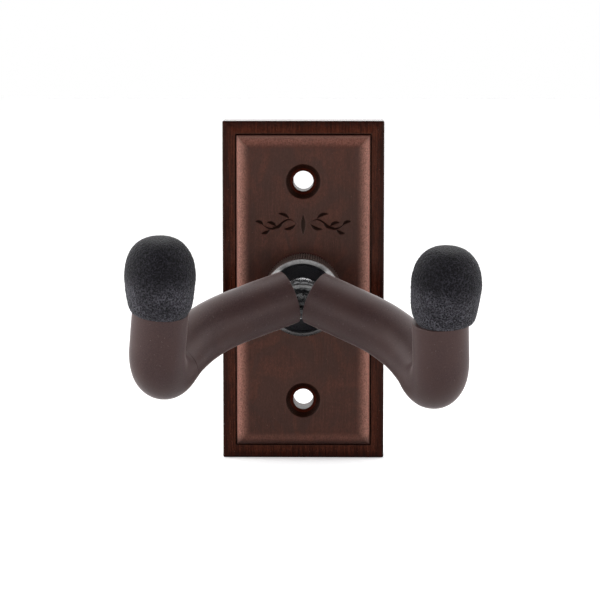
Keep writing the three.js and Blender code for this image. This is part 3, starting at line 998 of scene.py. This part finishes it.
def make_nut(steel):
    """A hexagon nut with chamfered corners, and the nylon ring in its rear end."""
    low, high = low_high("lock_nut")
    back, front = -high.y, -low.y
    points = []
    for out in (back, front):
        for k in range(6):
            a = math.pi / 3 * k + math.pi / 2
            points.append((NUT_CORNER * math.cos(a), -out, NUT_CORNER * math.sin(a)))
    faces = [tuple(range(6)), tuple(range(6, 12))]
    faces += [(k, (k + 1) % 6, 6 + (k + 1) % 6, 6 + k) for k in range(6)]
    nut = new_object("hexagon_lock_nut", [TILT @ Vector(p) for p in points], faces)
    wide, narrow, least = NUT_CORNER + 0.2, NUT_CORNER - 1.1, NUT_CORNER - 2.1
    profile = [(back - 1, 0), (back - 1, least), (back, narrow), (back + 0.7, wide)]
    profile += [(front - 0.7, wide), (front, narrow), (front + 1, least), (front + 1, 0)]
    combine(nut, around("cutter", AXIS, profile, CUTTER_SIDES, turn=TILT), "INTERSECT")
    lip, seat = back + 0.3, back + INSERT_SEAT_DEPTH
    bore = [(back - 1, 0), (back - 1, NUT_LIP_R), (lip, NUT_LIP_R), (lip, INSERT_SEAT_R)]
    bore += [(seat, INSERT_SEAT_R), (seat, STUD_BORE_R)]
    bore += [(front + 1, STUD_BORE_R), (front + 1, 0)]
    combine(nut, around("cutter", AXIS, bore, CUTTER_SIDES, turn=TILT), "DIFFERENCE")
    crease(nut, 25)
    finish_piece(nut, [steel], "yoke", "lock_nut")
    low, high = low_high("nut_insert")
    outer = (high.x - low.x) / 2
    insert = ring_piece("nylon_nut_insert", INSERT_BORE_R, outer, -high.y, -low.y, 0.2)
    blue = nylon_material("blue_nylon", (0.03, 0.1, 0.33))
    finish_piece(insert, [blue], "yoke", "nut_insert")


# ---- yoke


WELD_RIPPLES = 15
WELD_LONG, WELD_ROUND = 300, 28
WELD_RING_R = 5.0
WELD_R = 1.85
WELD_OUT = 46.0


def make_weld():
    """A ring of overlapping ripples where the stud's head meets the rod."""
    points, faces = [], []
    for i in range(WELD_LONG):
        a = TAU * i / WELD_LONG
        phase = (a * WELD_RIPPLES / TAU) % 1
        r = WELD_R * (0.80 + 0.20 * math.sin(math.pi * phase) ** 0.6)
        wander = 0.12 * math.sin(3 * a + 1) + 0.08 * math.sin(7 * a)
        lean = 0.25 * (phase - 0.5)
        for k in range(WELD_ROUND):
            b = TAU * k / WELD_ROUND
            ring_r = WELD_RING_R + wander + r * math.cos(b)
            out = WELD_OUT + lean + r * 1.05 * math.sin(b)
            points.append((ring_r * math.cos(a), -out, ring_r * math.sin(a)))
    for i in range(WELD_LONG):
        one, two = i * WELD_ROUND, (i + 1) % WELD_LONG * WELD_ROUND
        for k in range(WELD_ROUND):
            m = (k + 1) % WELD_ROUND
            faces.append((one + k, one + m, two + m, two + k))
    weld = new_object("rippled_weld", [TILT @ Vector(p) for p in points], faces)
    paint = paint_material("weld_black", (0.030, 0.030, 0.033), 0.06, 0.15, 0.6)
    finish_piece(weld, [paint], "yoke", "weld_bead")


ROD_SIDES = 56


def make_rod():
    """The bent rod, with rounded ends inside the caps."""
    end = ROD.length
    profile = [(0, 0), (0, 3.1), (0.3, 3.6), (0.9, ROD_R)]
    profile += [(s, ROD_R) for s in spread(1.5, end - 1.5, 1.2)]
    profile += [(end - 0.9, ROD_R), (end - 0.3, 3.6), (end, 3.1), (end, 0)]
    rod = crease(around("bent_yoke_rod", ROD, profile, ROD_SIDES, turn=TILT), 40)
    paint = paint_material("rod_black", (0.004, 0.004, 0.005), 0.05, 0.05, 0.5)
    finish_piece(rod, [paint], "yoke", "yoke_rod")


def foam_skin(strength, size, seed):
    """Small unevenness of a moulded foam surface, as a change of radius."""
    offset = Vector((seed * 11.3, seed * 5.7, seed * 3.1))

    def shape(s, radius, angle):
        spot = Vector((s, radius * math.cos(angle), radius * math.sin(angle))) / size
        return radius + strength * noise.noise(spot + offset)

    return shape


SLEEVE_SIDES = 88
SLEEVE_EDGE = 0.22
FOAM_BORE_R = ROD_R + GAP


def make_sleeve(name, node, start, end, foam, seed):
    """A foam tube on the rod, from one place along it to another."""
    inner, edge = FOAM_BORE_R, SLEEVE_EDGE
    profile = [(start + 0.25, inner), (start, inner + 0.25)]
    profile += arc((start + edge, SLEEVE_R - edge), edge, 180, 90, 6)
    profile += [(s, SLEEVE_R) for s in spread(start + 1.2, end - 1.2, 1.0)]
    profile += arc((end - edge, SLEEVE_R - edge), edge, 90, 0, 6)
    profile += [(end, inner + 0.25), (end - 0.25, inner)]
    profile += [(s, inner) for s in spread(end - 1.5, start + 1.5, 2.5)]
    lumps = foam_skin(0.09, 7.0, seed)

    def shape(s, radius, angle):
        return lumps(s, radius, angle) if radius > inner + 1 else radius

    sleeve = around(name, ROD, profile, SLEEVE_SIDES, closed=True, shape=shape, turn=TILT)
    crease(sleeve, 60)
    finish_piece(sleeve, [foam], "yoke", node)


# A cap's section, as (height above its foot, radius).
CAP_PROFILE = [(-1.2, 9.2), (0, 9.9), (1.2, 10.6), (2.9, 11.1), (5.5, 11.5), (9, 11.9)]
CAP_PROFILE += [(13, 12.15), (16.6, 11.75), (19.8, 10.8), (22.5, 9.2), (24.6, 7.0)]
CAP_PROFILE += [(25.7, 4.2), (26, 0)]
CAP_RINGS, CAP_SIDES, CAP_BORE_SIDES = 115, 260, 64


def smooth_curve(knots, count):
    """Points of a smooth curve through the knots (Catmull-Rom)."""
    ends = [knots[0], *knots, (knots[-1][0], -knots[-2][1])]
    out = []
    spans = len(knots) - 1
    for i in range(count + 1):
        place = min(i / count * spans, spans - 1e-6)
        k = int(place)
        t = place - k
        p = [Vector(ends[k + j]) for j in range(4)]
        point = 0.5 * (
            2 * p[1]
            + (p[2] - p[0]) * t
            + (2 * p[0] - 5 * p[1] + 4 * p[2] - p[3]) * t**2
            + (3 * p[1] - p[0] - 3 * p[2] + p[3]) * t**3
        )
        out.append((point.x, max(point.y, 0)))
    out[-1] = tuple(knots[-1])
    return out


class CapPath:
    """An axis at one end of the rod, from the cap's foot up past the rod's tip."""

    def __init__(self, name, lean=0.0, shift=0.0):
        left = name == "left"
        tip, along = ROD.at(0 if left else ROD.length)
        along = -along if left else along
        side = Vector((-1 if left else 1, 0, 0))
        side = (side - along * side.dot(along)).normalized()
        turn = Matrix.Rotation(lean, 3, along.cross(side))
        self.base = tip - along * CAP_BELOW_TIP + side * shift
        self.along = turn @ along
        self.side = turn @ side

    def spot(self, s):
        return self.base + self.along * s, self.side, self.along.cross(self.side)


def make_cap(name, seed):
    """A foam cap that leans away from the gap, cut off flush with the sleeve's end."""
    straight = CapPath(name)
    lumps = foam_skin(0.3, 9.0, seed)
    grain = foam_skin(0.17, 0.7, seed + 1)

    def shape(s, radius, angle):
        even = min(1, radius / 4)
        return radius + even * (
            lumps(s, radius, angle) - radius + grain(s, radius, angle) - radius
        )

    foot, foot_r = CAP_PROFILE[0]
    profile = [(foot, 0), (foot, 0.5 * foot_r)] + smooth_curve(CAP_PROFILE, CAP_RINGS)
    leaning = CapPath(name, CAP_LEAN, CAP_SHIFT[name])
    cap = around(name + "_foam_cap", leaning, profile, CAP_SIDES, shape=shape, turn=TILT)
    depth = CAP_BELOW_TIP + GAP
    bore = [(-1, 0), (-1, FOAM_BORE_R), (depth, FOAM_BORE_R), (depth, 0)]
    end = CAP_TOUCH - GAP
    under = [(-6, 0), (-6, 2 * foot_r), (end, 2 * foot_r), (end, 0)]
    for section in (bore, under):
        cutter = around("cutter", straight, section, CAP_BORE_SIDES, turn=TILT)
        combine(cap, cutter, "DIFFERENCE")
    crease(cap, 50)
    foam = cap_material(name + "_cap_foam", leaning)
    finish_piece(cap, [foam], "yoke", name + "_end_cap")


def make_yoke():
    """Everything that turns with the yoke."""
    steel = steel_material("zinc_steel", (0.50, 0.50, 0.51), 0.16)
    make_stud(steel)
    make_washers(steel)
    make_nut(steel)
    make_weld()
    make_rod()
    foam = sleeve_material()
    end = ROD.length
    short = CAP_BELOW_TIP + GAP
    middle = end / 2
    make_sleeve("left_foam_sleeve", "left_sleeve", short, middle - SLEEVE_START, foam, 1)
    make_sleeve("right_foam_sleeve", "right_sleeve", middle + SLEEVE_START, end - short, foam, 2)
    make_cap("left", 3)
    make_cap("right", 5)


# ---- studio


FLOOR_GLOW = 0.45
FLOOR_HALF = 4.0
FLOOR_BELOW = 0.0002

# The world's light, from almost none in front of the object to its full strength behind it.
WORLD_RAMP = {"From Min": -0.15, "From Max": 0.6, "To Min": 0.02, "To Max": 2.6}

# What most lights face.
PIVOT = (0, -0.05, 0)

# Soft boxes: name, place and size in metres, radiance, and the place they face.
LIGHTS = [
    ("left_box", (-0.8, -0.15, 0.28), (0.8, 0.9), 3.6, PIVOT),
    ("right_box", (0.8, -0.15, 0.28), (0.8, 0.9), 2.65, PIVOT),
    ("left_fill", (-0.75, -0.8, 0.05), (0.4, 0.5), 2.4, PIVOT),
    ("right_fill", (0.75, -0.8, 0.05), (0.4, 0.5), 2.4, PIVOT),
    ("top_box", (0.0, 0.05, 0.8), (0.9, 0.5), 0.95, PIVOT),
    ("low_box", (0.0, -0.4, -0.05), (1.2, 0.35), 2.4, (0, -0.15, 0.6)),
]

# The camera's place in metres, the way it faces, and its lens and sensor in millimetres.
CAMERA_PLACE = (0.012, -1.018, 0.105)
CAMERA_AIM = (-0.01317, 1, -0.10820)
CAMERA_LENS = 162.7
CAMERA_SENSOR = 36


def seen_only(tree):
    """1 for what the camera sees directly, and 0 for light that reaches the object."""
    return tree.nodes.new("ShaderNodeLightPath").outputs["Is Camera Ray"]


def make_floor():
    """A white table under the plate, with a glow that only the camera sees."""
    half, z = FLOOR_HALF, PLATE_LOW.z * MM - FLOOR_BELOW
    mesh = bpy.data.meshes.new("floor")
    corners = [(-half, -half, z), (half, -half, z), (half, half, z), (-half, half, z)]
    mesh.from_pydata(corners, [], [(0, 1, 2, 3)])
    floor = bpy.data.objects.new("floor", mesh)
    bpy.context.scene.collection.objects.link(floor)
    g = Graph("floor_white")
    glow = g.all_of(seen_only(g.tree), FLOOR_GLOW)
    tone = g.mix(g.fit(g.noise(0.02, 2), 0.3, 0.7), (0.72, 0.72, 0.73), (0.75, 0.75, 0.75))
    g.set(Base_Color=tone, Roughness=0.9, Emission_Color=(1, 1, 1), Emission_Strength=glow)
    g.set(Specular_IOR_Level=0.0)
    mesh.materials.append(g.material)


def make_light(name, place, size, radiance, aim):
    """A soft box that faces the place aimed at."""
    light = bpy.data.lights.new(name, "AREA")
    light.shape = "RECTANGLE"
    light.size, light.size_y = size
    light.energy = radiance * math.pi * size[0] * size[1]
    obj = bpy.data.objects.new(name, light)
    obj.location = place
    obj.visible_camera = False
    towards = Vector(aim) - Vector(place)
    obj.rotation_euler = towards.to_track_quat("-Z", "Y").to_euler()
    bpy.context.scene.collection.objects.link(obj)


def make_world():
    """White all round to the eye, and light that comes from behind the object."""
    world = bpy.data.worlds.new("studio")
    bpy.context.scene.world = world
    world.use_nodes = True
    tree = world.node_tree
    tree.nodes.clear()
    output = tree.nodes.new("ShaderNodeOutputWorld")
    seen = tree.nodes.new("ShaderNodeBackground")
    seen.inputs["Color"].default_value = (1, 1, 1, 1)
    lit = tree.nodes.new("ShaderNodeBackground")
    place = tree.nodes.new("ShaderNodeTexCoord")
    split = tree.nodes.new("ShaderNodeSeparateXYZ")
    tree.links.new(place.outputs["Generated"], split.inputs[0])
    ramp = tree.nodes.new("ShaderNodeMapRange")
    ramp.interpolation_type = "SMOOTHSTEP"
    for key, value in WORLD_RAMP.items():
        ramp.inputs[key].default_value = value
    tree.links.new(split.outputs[1], ramp.inputs["Value"])
    tree.links.new(ramp.outputs["Result"], lit.inputs["Strength"])
    mix = tree.nodes.new("ShaderNodeMixShader")
    tree.links.new(seen_only(tree), mix.inputs[0])
    tree.links.new(lit.outputs[0], mix.inputs[1])
    tree.links.new(seen.outputs[0], mix.inputs[2])
    tree.links.new(mix.outputs[0], output.inputs["Surface"])


def make_studio():
    """The floor, the surroundings and the lights, with colours shown as they are."""
    make_floor()
    make_world()
    for light in LIGHTS:
        make_light(*light)
    view = bpy.context.scene.view_settings
    view.view_transform = "Standard"
    view.look = "None"


def make_camera():
    """A camera about a metre away, above the plate's top and looking slightly down."""
    camera = bpy.data.cameras.new("camera")
    camera.sensor_width = CAMERA_SENSOR
    camera.lens = CAMERA_LENS
    camera.clip_start = 0.05
    camera.clip_end = 20
    obj = bpy.data.objects.new("camera", camera)
    obj.location = CAMERA_PLACE
    obj.rotation_euler = Vector(CAMERA_AIM).to_track_quat("-Z", "Y").to_euler()
    bpy.context.scene.collection.objects.link(obj)
    bpy.context.scene.camera = obj


make_plate()
make_collar()
make_bush("front_nylon_bush", "front_bushing", COLLAR_FRONT - COLLAR_RECESS, 1)
make_bush("rear_nylon_bush", "rear_bushing", -COLLAR_HIGH.y, -1)
make_yoke()
make_studio()
make_camera()
